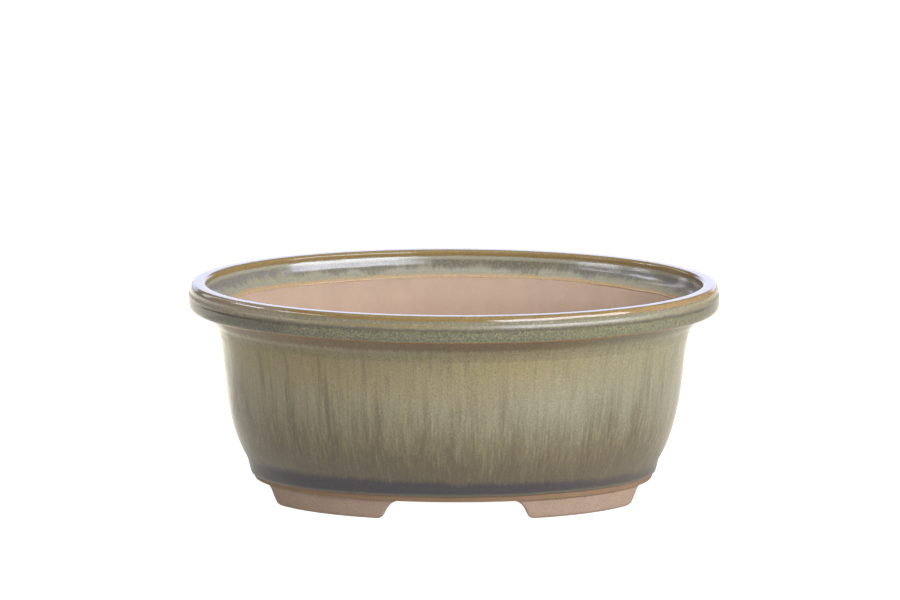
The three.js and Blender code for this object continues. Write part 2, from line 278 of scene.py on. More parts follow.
class SectionLine:
    """A line of the pot's section: points (reach, level), the run along it, and named marks on it."""

    CLAY_SOFTNESS = 0.25 * MM
    COAT_SOFTNESS = 0.20 * MM
    POOL_SOFTNESS = 1.1 * MM
    NECK_SOFTNESS = 1.8 * MM
    RIDGE_SOFTNESS = 0.25 * MM
    NECK_SPREAD = 7 * MM
    WAIST_SPREAD = 2.5 * MM
    SEAT_MARGIN = 2 * MM
    SEAT_SOFTNESS = 1 * MM
    ROW_STEP = 1 * MM
    ROW_TURN = math.radians(10)
    ROWS_AT_ENDS = 6
    ROWS_AT_RIDGE = 5

    def __init__(self, start):
        self.clay = np.array([start], float)
        self.mark = {}

    def carry_on(self, name, *controls):
        """Adds a stretch of the line: a curve from its end, whose own end gets the name."""
        self.clay = np.vstack([self.clay, bezier([self.clay[-1], *controls])[1:]])
        self.mark[name] = np.linalg.norm(np.diff(self.clay, axis=0), axis=1).sum()

    def lay_coat(self, thickness, thinning, ridge_level):
        """Steps the line evenly, and lays the coat: the softened line moved out along its normal.

        The coat is thinner between the ridge and the seat, and it fills the crease at the waist."""
        steps = np.linalg.norm(np.diff(self.clay, axis=0), axis=1)
        run = np.concatenate([[0], np.cumsum(steps)])
        self.run = np.arange(0, run[-1], LINE_STEP)
        self.clay = np.stack([np.interp(self.run, run, part) for part in self.clay.T], axis=1)
        bare_neck = (self.mark["throat"] + self.mark["inner_neck"]) / 2
        near_neck = bell(self.run, bare_neck, self.NECK_SPREAD)[:, None]
        self.clay += near_neck * (softened(self.clay, self.NECK_SOFTNESS) - self.clay)
        bed = softened(self.clay, self.CLAY_SOFTNESS)
        along = np.gradient(bed, axis=0)
        along /= np.linalg.norm(along, axis=1, keepdims=True)
        wall = (self.run > self.mark["waist"]) & (self.run < self.mark["neck"])
        self.mark["ridge"] = np.interp(ridge_level, self.clay[wall, 1], self.run[wall])
        above = np.tanh((self.run - self.mark["ridge"]) / self.RIDGE_SOFTNESS)
        below = np.tanh((self.mark["seat"] - self.SEAT_MARGIN - self.run) / self.SEAT_SOFTNESS)
        depth = thickness - thinning * (1 + above) * (1 + below) / 4
        normal = np.stack([along[:, 1], -along[:, 0]], axis=1)
        self.coat = softened(bed + depth[:, None] * normal, self.COAT_SOFTNESS)
        near_waist = bell(self.run, self.mark["waist"], self.WAIST_SPREAD)[:, None]
        self.coat += near_waist * (softened(self.coat, self.POOL_SOFTNESS) - self.coat)
        heading = np.unwrap(np.arctan2(along[:, 1], along[:, 0]))
        self.turn = np.abs(np.gradient(heading, LINE_STEP))

    def at(self, line, run):
        """Points of the clay or of the coat at any runs."""
        return np.stack([np.interp(run, self.run, part) for part in line.T], axis=-1)

    def rows(self, first, last, count):
        """Runs for the rows of a grid: as many to a millimetre as to a turn of ten degrees, and more at both
        ends and on the ridge."""
        inside = (self.run >= self.mark[first]) & (self.run <= self.mark[last])
        run = self.run[inside]
        step = self.ROW_STEP
        ends = np.exp(-(run - run[0]) / step) + np.exp(-(run[-1] - run) / step)
        ridge = bell(run, self.mark["ridge"], step)
        density = (1 + self.ROWS_AT_ENDS * ends + self.ROWS_AT_RIDGE * ridge) / step
        density = density + self.turn[inside] / self.ROW_TURN
        share = np.cumsum(density)
        return np.interp(np.linspace(share[0], share[-1], count), share, run)


def neck_reach(pot):
    """Reach of the neck: the seat's, less the flare."""
    return pot.seat_reach - pot.neck_flare


def throat_reach(pot):
    """Reach of the wall's inner top edge: the seat's, less the wall's thickness there."""
    return pot.seat_reach - pot.wall_top


def inner_foot_reach(pot):
    """Reach of the wall's inner foot: the waist's, less the wall's thickness there."""
    return pot.waist_reach - pot.wall_foot


def base_reach(pot):
    """Reach of the lower corner of the base: the waist's, less what the base is drawn in."""
    return pot.waist_reach - pot.base_draw_in


def section_line(pot):
    """The clay's section, as straight lines and Bezier curves: from the lower corner of the base up the
    outside, over the lip and down to the floor."""
    bare_strip = pot.glaze_level - pot.floor_bottom
    drawn_in = pot.base_draw_in * (1 - bare_strip / (pot.floor_top - pot.floor_bottom))
    start_reach = pot.waist_reach - drawn_in + pot.base_bulge / 2
    base = base_reach(pot)
    corner_share = pot.base_round / bare_strip
    line = SectionLine((base - pot.base_round, pot.floor_bottom))
    line.carry_on(
        "base_corner",
        (base, pot.floor_bottom),
        (base + (start_reach - base) * corner_share, pot.floor_bottom + pot.base_round),
    )
    line.carry_on("glaze_line", (start_reach, pot.glaze_level))
    line.carry_on(
        "waist",
        ((start_reach + pot.waist_reach) / 2 + pot.base_bulge, (pot.glaze_level + pot.floor_top) / 2),
        (pot.waist_reach, pot.floor_top),
    )

    neck = neck_reach(pot)
    neck_level = pot.lip_seat - pot.neck_drop
    line.carry_on(
        "neck",
        (pot.waist_reach + pot.belly_reach, pot.floor_top + pot.belly_rise),
        (neck - pot.shoulder_reach, neck_level - pot.shoulder_drop),
        (neck, neck_level),
    )
    flare_pull = (neck + pot.neck_flare / 3, pot.lip_seat - pot.neck_flare)
    line.carry_on("seat", flare_pull, (pot.seat_reach, pot.lip_seat))

    line_level = pot.lip_seat + pot.lip_bead
    band = pot.lip_reach - pot.lip_set_back
    brow = band - pot.lip_brow_lean
    inner = pot.lip_reach - pot.lip_top_width
    cove_level = pot.lip_top - pot.lip_inner_drop
    throat = throat_reach(pot)
    glaze_end = (throat + pot.bare_throat, pot.lip_seat + pot.bare_throat)
    line.carry_on("bead_foot", (pot.lip_reach - pot.lip_bead_round, pot.lip_seat))
    line.carry_on(
        "bead", (pot.lip_reach, pot.lip_seat), (pot.lip_reach, pot.lip_seat + pot.lip_bead_round)
    )
    line.carry_on("bead_top", (pot.lip_reach, line_level - pot.lip_line_width / 2))
    line.carry_on("line", (pot.lip_reach - pot.lip_line_depth, line_level))
    line.carry_on("shoulder", (pot.lip_reach, line_level + pot.lip_line_width / 2))
    line.carry_on("band", (band, line_level + pot.lip_line_width / 2 + pot.lip_shoulder))
    line.carry_on("band_top", (band, pot.lip_top - pot.lip_top_round - pot.lip_brow))
    line.carry_on("brow", (brow, pot.lip_top - pot.lip_top_round))
    line.carry_on("top_out", (brow, pot.lip_top), (brow - pot.lip_top_round, pot.lip_top))
    line.carry_on("top_in", (inner + pot.lip_top_round, pot.lip_top))
    line.carry_on("inner_edge", (inner, pot.lip_top), (inner, pot.lip_top - pot.lip_top_round))
    line.carry_on("cove", (inner, cove_level))
    ledge = (inner - pot.lip_ledge_lean, cove_level - pot.lip_ledge)
    line.carry_on("ledge", ledge)
    cove_pull = (ledge[0] - pot.lip_top_width / 5, glaze_end[1] + pot.lip_ledge_lean)
    line.carry_on("glaze_end", cove_pull, glaze_end)
    line.carry_on("throat", (throat, pot.lip_seat))

    foot = inner_foot_reach(pot)
    inner_neck = neck - pot.wall_middle
    corner_top = pot.floor_top + pot.inner_corner
    line.carry_on("inner_neck", (inner_neck, neck_level))
    line.carry_on(
        "corner_top",
        (inner_neck - pot.shoulder_reach, neck_level - pot.shoulder_drop),
        (foot + pot.inner_belly_reach, pot.floor_top + pot.belly_rise),
        (foot, corner_top),
    )
    line.carry_on("inner_floor", (foot, pot.floor_top), (foot - pot.inner_corner, pot.floor_top))
    line.carry_on("floor_end", (foot - 2 * pot.inner_corner, pot.floor_top))
    line.lay_coat(pot.glaze, pot.neck_thinning, pot.neck_ledge)
    return line


# Surfaces


def waves(angle, terms):
    """A slow wander round the pot: a sum of sines, each with its count, its height and its start."""
    return MM * sum(height * np.sin(count * angle + start) for count, height, start in terms)


def turned_oval(section, angle, stretch):
    """Points of a section carried round the oval: (reach cos a, (reach - stretch) sin a, level)."""
    reach, level = section[..., 0], section[..., 1]
    return np.stack([reach * np.cos(angle), (reach - stretch) * np.sin(angle), level + 0 * angle], axis=-1)


def ring_angles(count):
    """Angles in even steps round a full turn, without the last."""
    return np.linspace(0, 2 * math.pi, count, endpoint=False)


def grid_faces(rows, columns, closed_rows):
    """Four-sided faces of a grid whose columns run round and close, and whose rows close where that is asked:
    the corners are (row, column) and the next ones in each."""
    row = np.arange(rows if closed_rows else rows - 1)[:, None]
    column = np.arange(columns)[None, :]
    next_row = (row + 1) % rows
    next_column = (column + 1) % columns
    corners = [row * columns + column, row * columns + next_column]
    corners += [next_row * columns + next_column, next_row * columns + column]
    return np.stack(corners, axis=-1).reshape(-1, 4)


def enclosed_volume(points, faces):
    """Six times the volume inside closed faces: the sum of the triple products of their fans of triangles."""
    first = points[faces[:, 0]]
    total = 0.0
    for place in range(1, faces.shape[1] - 1):
        cross = np.cross(points[faces[:, place]], points[faces[:, place + 1]])
        total += np.einsum("ij,ij->", first, cross)
    return total


def outward(points, faces):
    """The faces, turned round if they point into the solid."""
    return faces if enclosed_volume(points, faces) > 0 else faces[:, ::-1]


def face_outward(mesh):
    """Merges the doubled points of a mesh and turns its faces to point out of it."""
    solid = bmesh.new()
    solid.from_mesh(mesh)
    bmesh.ops.remove_doubles(solid, verts=solid.verts, dist=MERGE_DISTANCE)
    bmesh.ops.recalc_face_normals(solid, faces=solid.faces)
    solid.to_mesh(mesh)
    solid.free()


def smoothed(mesh):
    """The mesh, smooth-shaded, with its sharp edges marked."""
    mesh.shade_smooth()
    mesh.set_sharp_from_angle(angle=SHARP_ANGLE)
    return mesh


def closed_mesh(name, points, faces):
    """A mesh of faces with any number of corners, whose doubled points are merged."""
    mesh = bpy.data.meshes.new(name)
    mesh.from_pydata(points.tolist(), [], faces)
    face_outward(mesh)
    return smoothed(mesh)


def mesh_of(name, points, faces):
    """A mesh of faces that are already closed and point outward."""
    mesh = bpy.data.meshes.new(name)
    mesh.from_pydata(points.tolist(), [], faces.tolist())
    mesh.validate()
    return smoothed(mesh)


def add_piece(name, mesh, material, slot, *nodes):
    """Puts a piece into the scene, in place of its nodes and on the pot's body."""
    piece = bpy.data.objects.new(name, mesh)
    bpy.context.scene.collection.objects.link(piece)
    mesh.materials.append(material)
    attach(piece, BODY)
    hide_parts(*nodes)
    return piece


def set_numbers(mesh, name, values):
    """Stores a number or a vector for each point of a mesh, for its material to read."""
    kind, key = ("FLOAT", "value") if values.ndim == 1 else ("FLOAT_VECTOR", "vector")
    attribute = mesh.attributes.new(name, kind, "POINT")
    attribute.data.foreach_set(key, values.astype(np.float32).ravel())


def flame_tops(angle, pot):
    """How high above the waist the brown flames reach, round the pot: the highest of many spikes, each of
    which falls off to both sides of its place by exp(-distance / spread)."""
    ring = turned_oval(np.array([neck_reach(pot), 0.0]), angle, pot.stretch)
    around = np.cumsum(np.linalg.norm(ring - np.roll(ring, 1, axis=0), axis=1)) / MM
    random = np.random.default_rng(FLAME_SEED)
    place = around[-1] * (np.arange(FLAME_COUNT) + random.uniform(0, 1, FLAME_COUNT)) / FLAME_COUNT
    height = random.uniform(*FLAME_HEIGHTS, FLAME_COUNT)
    spread = random.uniform(*FLAME_SPREADS, FLAME_COUNT)
    away = np.abs(around[:, None] - place)
    away = np.minimum(away, around[-1] - away)
    return FLAME_FOOT + (height * np.exp(-away / spread)).max(axis=1)


def glaze_mesh(pot, line):
    """The coat of glaze: its outer face from the lower to the inner edge, and its back against the clay.

    Both edges wander round the pot, and near them the coat thins by a quarter circle, as a glaze rolls up
    where it stopped running."""
    angle = ring_angles(GLAZE_AROUND)
    front = line.rows("glaze_line", "glaze_end", GLAZE_ROWS)
    back = np.linspace(front[-1], front[0], GLAZE_BACK_ROWS + 2)[1:-1]
    nominal = np.concatenate([front, back])[:, None]
    lower_shift = waves(angle, LOWER_EDGE_WAVES)
    inner_shift = waves(angle, INNER_EDGE_WAVES)
    run = nominal + np.exp(-(nominal - front[0]) / EDGE_FADE) * lower_shift
    run = run + np.exp(-(front[-1] - nominal) / EDGE_FADE) * inner_shift
    from_lower = run - front[0] - lower_shift
    to_inner = front[-1] + inner_shift - run

    edge = np.clip(np.minimum(from_lower / pot.glaze_roll, to_inner / pot.glaze_feather), 0, 1)
    swell = np.sqrt(np.clip(1 - (1 - edge) ** 2, 0, 1))
    swell[GLAZE_ROWS:] = 0
    clay = line.at(line.clay, run)
    section = clay + (line.at(line.coat, run) - clay) * swell[..., None]
    sway = waves(angle + COAT_TWIST * run, COAT_WAVES)
    section[..., 0] -= (sway + MM * sum(height for _, height, _ in COAT_WAVES)) * swell
    points = turned_oval(section, angle, pot.stretch).reshape(-1, 3)
    faces = outward(points, grid_faces(len(nominal), GLAZE_AROUND, True))
    mesh = mesh_of("glaze", points, faces)

    middle = np.stack([0 * run + neck_reach(pot), run], axis=-1)
    set_numbers(mesh, "flow", turned_oval(middle, angle, pot.stretch).reshape(-1, 3) / MM)
    set_numbers(mesh, "along", run.ravel() / MM)
    set_numbers(mesh, "from_lower", from_lower.ravel() / MM)
    set_numbers(mesh, "to_inner", to_inner.ravel() / MM)
    set_numbers(mesh, "flame_top", (flame_tops(angle, pot) + 0 * run).ravel())
    return mesh


def ring_mesh(name, section, stretch):
    """A closed section carried round the oval."""
    angle = ring_angles(CLAY_AROUND)
    points = turned_oval(section[:, None, :], angle, stretch).reshape(-1, 3)
    return mesh_of(name, points, outward(points, grid_faces(len(section), CLAY_AROUND, True)))


def stretch_of(line, first, last, count):
    """A stretch of the clay's line, in as many points as asked."""
    return line.at(line.clay, line.rows(first, last, count))


def wall_mesh(pot, line):
    """The wall: its outer face under the glaze, its seat for the lip, its inner face, and its foot."""
    outer = stretch_of(line, "waist", "seat", WALL_OUTER_ROWS)
    inner = stretch_of(line, "throat", "inner_floor", WALL_INNER_ROWS)
    return ring_mesh("wall", np.vstack([outer, inner]), pot.stretch)


def lip_mesh(pot, line):
    """The lip: from its seat on the wall out and over the top, and down the cove to its bare foot."""
    return ring_mesh("lip", stretch_of(line, "seat", "throat", LIP_ROWS), pot.stretch)


def hole_list(pot):
    """Centre and radius of each hole in the floor."""
    holes = [(side * pot.drain_spacing / 2, 0, pot.drain_hole / 2) for side in (-1, 1)]
    for side in (-1, 1):
        for end in (-1, 1):
            x = end * pot.wire_spacing_x / 2
            y = side * pot.wire_spacing_y / 2
            holes.append((x, y, pot.wire_hole / 2))
    return holes


def plate(outline, rims, holes):
    """A flat plate inside an oval outline, around round holes: a triangle net through the outline, the rims
    of the holes and a square grid between them. Returns its points in the plane and its triangles."""
    reach_x, reach_y = outline.max(axis=0)
    steps_x = np.arange(-reach_x, reach_x, FLOOR_GRID)
    steps_y = np.arange(-reach_y, reach_y, FLOOR_GRID)
    grid = np.stack(np.meshgrid(steps_x, steps_y), axis=-1).reshape(-1, 2)
    keep = (grid[:, 0] / (reach_x - FLOOR_GRID)) ** 2 + (grid[:, 1] / (reach_y - FLOOR_GRID)) ** 2 < 1
    for x, y, radius in holes:
        keep &= np.hypot(grid[:, 0] - x, grid[:, 1] - y) > radius + FLOOR_GRID
    loops = [outline, *rims]
    edges = []
    first = 0
    for loop in loops:
        order = first + np.arange(len(loop))
        edges += list(zip(order.tolist(), np.roll(order, -1).tolist()))
        first += len(loop)
    points = [Vector(p) for p in np.vstack([*loops, grid[keep]]).tolist()]
    made, _, triangles, _, _, _ = delaunay_2d_cdt(points, edges, [], 0, NET_TOLERANCE)
    flat = np.array([tuple(p) for p in made])
    triangles = np.array([t for t in triangles if len(t) == 3])
    centre = flat[triangles].mean(axis=1)
    solid = np.ones(len(triangles), bool)
    for x, y, radius in holes:
        solid &= np.hypot(centre[:, 0] - x, centre[:, 1] - y) > radius
    return flat, triangles[solid]


def hole_wall(hole, rounding, bottom, top):
    """The wall of a hole, with both edges rounded by a quarter circle, turned about the hole's axis."""
    x, y, radius = hole
    quarter = np.linspace(0, math.pi / 2, QUARTER_STEPS)
    reach = radius + rounding * (1 - np.cos(quarter))
    drop = rounding * (1 - np.sin(quarter))
    lower = np.stack([reach[::-1], bottom + drop[::-1]], axis=-1)
    upper = np.stack([reach, top - drop], axis=-1)
    section = np.vstack([lower, upper])[:, None, :]
    angle = ring_angles(HOLE_STEPS)
    points = turned_oval(section, angle, 0) + np.array([x, y, 0])
    return points.reshape(-1, 3), grid_faces(len(section), HOLE_STEPS, False)


def floor_mesh(pot, line):
    """The floor: an oval plate on both faces, its rounded edge, and the walls of its holes, merged into one.

    The rounded edge is a stretch of the section carried round the oval."""
    corner = line.at(line.clay, np.linspace(0, line.mark["base_corner"], BASE_CORNER_ROWS))
    edge = np.vstack([corner[:-1], stretch_of(line, "base_corner", "waist", BASE_ROWS)])
    angle = ring_angles(CLAY_AROUND)
    rim = turned_oval(edge[:, None, :], angle, pot.stretch)
    # The section is softened at the waist, and the floor's upper face is flat out to its edge
    rim[-1, :, 2] = pot.floor_top
    holes = hole_list(pot)
    wide = [(x, y, radius + pot.hole_round) for x, y, radius in holes]
    turn = ring_angles(HOLE_STEPS)
    circle = np.stack([np.cos(turn), np.sin(turn)], axis=-1)
    rims = [np.array([x, y]) + radius * circle for x, y, radius in wide]

    patches = [(rim.reshape(-1, 3), grid_faces(len(edge), CLAY_AROUND, False))]
    patches += [hole_wall(hole, pot.hole_round, pot.floor_bottom, pot.floor_top) for hole in holes]
    for outline, level in ((rim[0], pot.floor_bottom), (rim[-1], pot.floor_top)):
        flat, triangles = plate(outline[:, :2], rims, wide)
        patches.append((np.column_stack([flat, np.full(len(flat), level)]), triangles))

    starts = np.cumsum([0] + [len(points) for points, _ in patches])
    faces = sum([(part + start).tolist() for (_, part), start in zip(patches, starts)], [])
    return closed_mesh("floor", np.vstack([points for points, _ in patches]), faces)


def foot_side(pot, gap, lean, fillet):
    """The end of a foot from the ground up, as (distance from the pot's middle, level): rounded at the
    ground, leaning out over the gap, and filleted into the floor, each by a Bezier curve."""
    ceiling = pot.floor_bottom

    def flank(level):
        return gap / 2 - lean * level / ceiling, level

    rounded, filleted, top = flank(pot.gap_round), flank(ceiling - fillet), flank(ceiling)
    parts = [
        ((gap / 2 + pot.gap_round, 0), (gap / 2, 0), rounded),
        (rounded, filleted),
        (filleted, top, (top[0] - fillet, ceiling)),
    ]
    t = np.linspace(0, 1, FOOT_SIDE_STEPS)
    lines = []
    for part in parts:
        curve = bezier(part)
        place = np.linspace(0, 1, len(curve))
        lines.append(np.stack([np.interp(t, place, side) for side in curve.T], axis=1)[1:])
    return np.vstack([[parts[0][0]], *lines])


def rounded_to_ground(level, rounding):
    """How far a foot's face is drawn back at a level, where its lower edge is rounded by a quarter circle."""
    height = np.clip(1 - level / rounding, 0, 1)
    return rounding * (1 - np.sqrt(1 - height**2))


def foot_mesh(pot, name, side_x, side_y):
    """One foot: a rounded rectangle of the plan, bent round the oval, at each level from the ground up.

    In the rectangle, one side runs round the oval from the end gap to the front gap, the other outward."""
    front = foot_side(pot, pot.front_gap, pot.front_lean, pot.gap_fillet)
    end = foot_side(pot, pot.end_gap, pot.end_lean, pot.end_fillet)
    level = front[:, 1]
    top_reach = base_reach(pot) - pot.foot_inset
    back = rounded_to_ground(level, pot.foot_round)
    outer = top_reach - pot.foot_draft * (1 - level / pot.floor_bottom) - back
    inner = top_reach - pot.foot_width + back

    corner_along = pot.foot_corner / FOOT_LENGTH
    corner_out = pot.foot_corner / pot.foot_width
    quarter = np.linspace(0, math.pi / 2, QUARTER_STEPS)
    arc = [1 - corner_along * (1 - np.sin(quarter)), 1 - corner_out * (1 - np.cos(quarter))]
    straight = np.linspace(0.5, 1 - corner_along, FOOT_LONG_STEPS)[:-1]
    side = np.linspace(1 - corner_out, 0.5, FOOT_SHORT_STEPS)[1:-1]
    stretches = [(straight, np.ones_like(straight)), arc, (np.ones_like(side), side)]
    quadrant = np.hstack([np.stack(part) for part in stretches]).T - 0.5
    mirrored = quadrant[::-1] * [1, -1]
    right = np.vstack([quadrant, mirrored])[:-1]
    outline = np.vstack([right, -right])

    caps = len(FOOT_CAP_SCALES)
    place = np.pad(np.arange(len(level)), caps, mode="edge")
    scale = np.concatenate([FOOT_CAP_SCALES, np.ones(len(level)), FOOT_CAP_SCALES[::-1]])[:, None]
    along = 0.5 + outline[:, 0] * scale
    out = 0.5 + outline[:, 1] * scale
    reach = inner[place, None] + out * (outer - inner)[place, None]
    first = np.arcsin(end[place, None, 0] / (reach - pot.stretch))
    last = np.arccos(front[place, None, 0] / reach)
    angle = first + along * (last - first)
    x = side_x * reach * np.cos(angle)
    y = side_y * (reach - pot.stretch) * np.sin(angle)
    points = np.stack([x, y, level[place, None] + 0 * x], axis=-1).reshape(-1, 3)

    columns = len(outline)
    faces = grid_faces(len(place), columns, False).tolist()
    faces.append(list(range(columns))[::-1])
    faces.append([(len(place) - 1) * columns + column for column in range(columns)])
    return closed_mesh(name, points, faces)


# Finishes


class Finish:
    """A material and short calls for the nodes that its finish is made of."""

    def __init__(self, name):
        self.material = bpy.data.materials.new(name)
        self.material.use_nodes = True
        self.tree = self.material.node_tree
        self.tree.nodes.clear()
        self.shader = self.tree.nodes.new("ShaderNodeBsdfPrincipled")
        output = self.tree.nodes.new("ShaderNodeOutputMaterial")
        self.tree.links.new(self.shader.outputs["BSDF"], output.inputs["Surface"])

    def feed(self, node, inputs):
        """Fills inputs of a node, by name or place: links each to another node's output or sets its value."""
        for name, value in inputs.items():
            socket = node.inputs[name]
            if isinstance(value, bpy.types.NodeSocket):
                self.tree.links.new(value, socket)
            elif socket.type == "RGBA":
                socket.default_value = (*value, 1.0)
            else:
                socket.default_value = value

    def node(self, kind, output, inputs, **settings):
        """One output of a new node, with its settings made and its inputs filled."""
        node = self.tree.nodes.new(kind)
        for name, value in settings.items():
            setattr(node, name, value)
        self.feed(node, inputs)
        return node.outputs[output]

    def surface(self, inputs):
        """The material, with inputs of its shader filled."""
        self.feed(self.shader, inputs)
        return self.material

    def number(self, name):
        """A number that the piece stores for each of its points."""
        return self.node("ShaderNodeAttribute", "Fac", {}, attribute_name=name)

    def vector(self, name):
        """A vector that the piece stores for each of its points."""
        return self.node("ShaderNodeAttribute", "Vector", {}, attribute_name=name)

    def place(self):
        """Where the surface is, in millimetres."""
        return self.scaled(self.node("ShaderNodeTexCoord", "Object", {}), (1 / MM, 1 / MM, 1 / MM))

    def part(self, vector, axis):
        """One of the three numbers of a vector."""
        return self.node("ShaderNodeSeparateXYZ", axis, {"Vector": vector})

    def scaled(self, vector, scale):
        """A vector or a colour, with each of its numbers multiplied by its own factor."""
        return self.node("ShaderNodeVectorMath", "Vector", {0: vector, 1: scale}, operation="MULTIPLY")

    def brightened(self, shade, factor):
        """A colour multiplied by one factor."""
        return self.node("ShaderNodeVectorMath", "Vector", {0: shade, "Scale": factor}, operation="SCALE")

    def noise(self, vector, grain, detail, roughness=0.5):
        """Cloudy noise from 0 to 1 whose patches are about as wide as the grain, in the vector's units. It is
        a slice of noise in four dimensions."""
        inputs = {"Vector": vector, "Scale": 1 / grain, "Detail": detail, "Roughness": roughness}
        return self.node("ShaderNodeTexNoise", "Fac", inputs, noise_dimensions="4D")

    def drawn_out(self, vector, grain, stretch, detail, roughness=0.5):
        """Noise drawn out downward: as wide as the grain, and longer than wide by the stretch."""
        return self.noise(self.scaled(vector, (1, 1, 1 / stretch)), grain, detail, roughness)

    def cells(self, vector, grain):
        """Distance from the nearest of scattered points, which lie about a grain apart, and a random number
        for each of them."""
        distance = self.node("ShaderNodeTexVoronoi", "Distance", {"Vector": vector, "Scale": 1 / grain})
        return distance, self.part(distance.node.outputs["Color"], "X")

    def calc(self, operation, first, second=0.0):
        """One operation on two numbers."""
        return self.node("ShaderNodeMath", "Value", {0: first, 1: second}, operation=operation)

    def total(self, *terms, plus=0.0):
        """A number plus the sum of values, each with its factor."""
        result = plus
        for value, factor in terms:
            result = self.calc("ADD", self.calc("MULTIPLY", value, factor), result)
        return result

    def share(self, value, low, high):
        """From 0 at low to 1 at high, in a straight line."""
        return self.node("ShaderNodeMapRange", "Result", {"Value": value, "From Min": low, "From Max": high})

    def rise(self, value, low, high):
        """From 0 at low to 1 at high, with soft ends. It falls where high is below low."""
        inputs = {"Value": value, "From Min": min(low, high), "From Max": max(low, high)}
        inputs["To Min"], inputs["To Max"] = (0.0, 1.0) if low < high else (1.0, 0.0)
        return self.node("ShaderNodeMapRange", "Result", inputs, interpolation_type="SMOOTHSTEP")

    def product(self, values, shares, strength=1.0):
        """A strength times the product of shares, each of which is the name of one of the values and the two
        places along it that stand for 0 and for 1, or only a name."""
        result = strength
        for name, *ends in shares:
            part = self.rise(values[name], *ends) if ends else values[name]
            result = self.calc("MULTIPLY", part, result)
        return result

    def mix(self, share, first, second):
        """A colour on the way from the first to the second, by a share from 0 to 1."""
        return self.node("ShaderNodeMix", 2, {0: share, 6: first, 7: second}, data_type="RGBA")

    def tinted(self, shade, tints, colours, values):
        """A colour turned towards each tint in order, by its strength times the product of its shares."""
        for tint, strength, *shares in tints:
            shade = self.mix(self.product(values, shares, strength), shade, getattr(colours, tint))
        return shade

    def grained(self, shade, grain, strength):
        """A colour turned lighter and warmer in some grains, and darker and cooler in others."""
        dark = [1 - strength * part for part in DARK_GRAIN]
        light = [1 + strength * part for part in LIGHT_GRAIN]
        return self.scaled(shade, self.mix(self.share(grain, *GRAIN_ENDS), dark, light))

    def ramp(self, value, stops):
        """Colours at places along a value, each as (place, colour), with the value from 0 to 1."""
        shade = self.node("ShaderNodeValToRGB", "Color", {"Fac": value})
        elements = shade.node.color_ramp.elements
        while len(elements) < len(stops):
            elements.new(1.0)
        for element, (place, tint) in zip(elements, stops):
            element.position = place
            element.color = (*tint, 1.0)
        return shade

    def bump(self, height, depth, under=None):
        """A normal from a height of 0 to 1, whose full depth is given in millimetres."""
        inputs = {"Distance": depth * MM, "Height": height}
        if under is not None:
            inputs["Normal"] = under
        return self.node("ShaderNodeBump", "Normal", inputs)


# Grains: how far red, green and blue go down or up with the strength, and where in the noise they end
DARK_GRAIN = (1.0, 0.85, 0.45)
LIGHT_GRAIN = (1.0, 0.90, 0.50)
GRAIN_ENDS = (0.25, 0.75)

# Marks of the section that the glaze's colours and gloss go by
GLAZE_MARKS = ("waist", "ridge", "seat", "bead_foot", "bead_top", "line", "shoulder", "band", "band_top")
GLAZE_MARKS += ("brow", "top_out", "cove", "ledge")

# Noises in the glaze: width in millimetres, how much longer than wide, detail and roughness
GLAZE_NOISES = {
    "fingers": (9.0, 9, 1.0, 0.5),
    "runs": (3.2, 10, 2.0, 0.5),
    "threads": (1.2, 14, 2.0, 0.55),
    "dashes": (0.9, 5, 2.0, 0.5),
    "clouds": (42.0, 1.5, 1.0, 0.5),
    "blots": (3.2, 1, 2.0, 0.5),
    "grain": (0.8, 1, 2.0, 0.6),
    "sand": (0.45, 1, 2.0, 0.7),
    "swell": (6.0, 1, 1.0, 0.5),
    "bloom": (2.5, 1, 3.0, 0.5),
    "uneven": (7.0, 1, 2.0, 0.5),
    "mottle": (0.8, 1, 3.0, 0.6),
    "speckle": (0.65, 1, 3.0, 0.7),
    "patches": (10.0, 2, 1.5, 0.5),
    "cove_flames": (1.2, 7, 2.0, 0.5),
}

# Sums of values, each with its factor
GLAZE_SUMS = {
    "veil": {"waist": 1.0, "flame_top": -1.2, "right": 0.035, "runs": 14.0, "threads": 12.0, "dashes": 7.0},
    "green": {"clouds": 1.0, "right": 0.0035},
    "streaks": {"fingers": 0.4, "runs": 0.6},
    # Where the painted shade of the lip's shadow on the neck begins, above the ridge
    "neck_edge": {"ridge": 1.0, "dashes": 3.0},
    "pool_edge": {"waist": 1.0, "dashes": 3.0, "fingers": 3.0, "right": 0.02},
    "fringe": {"from_lower": 1.0, "grain": 1.0},
    "lip_place": {"seat": 1.0, "uneven": 0.8, "mottle": 0.8},
    "left_end": {"right": 1.0, "uneven": 24.0},
    "right_end": {"right": 1.0, "uneven": 16.0},
    "cove_pool": {"patches": 17.0, "cove_flames": 9.0, "mottle": 5.0, "ledge": -1.0},
    "inner_rim": {"to_inner": 1.0, "uneven": 2.0},
}

# Shares: a value, and the places along it that stand for 0 and for 1. A mark's value is the distance past it
FRONT_RIGHT = (("right", 18, 62), ("right", 104, 60))
RIGHT_END = ("right_end", 80, 100)
LEFT_END = ("left_end", -44, -54)
BEAD = (("bead_foot", 2.1, 3.1), ("line", 0.3, -0.7))
BAND = (("shoulder", -0.2, 0.8), ("band_top", -0.4, -1.4))
SHOULDER_SLOPE = (("shoulder", -0.5, 0.1), ("band", 0.6, 0.0))
COVE_POOL = (("ledge", -1.0, 0.0), ("cove_pool", 10.4, 13.9))
VEIL_HANGS = (("veil", 5, 43),)
LIP_BEGINS = (("seat", -0.3, 0.3),)

# Fading values: a number, and how much the product of the shares adds to it
GLAZE_FADES = {
    "ashen": (0.55, 0.30, ("right", 0, 60)),
    # The painted shade on the neck is laid less on the right, where the key light reaches the neck
    "neck_fade": (1.0, -0.75, ("right", 20, 70)),
    "pool_fade": (1.0, -0.3, ("right", 30, 85)),
    "bead_fade": (1.0, -0.25, *FRONT_RIGHT),
}

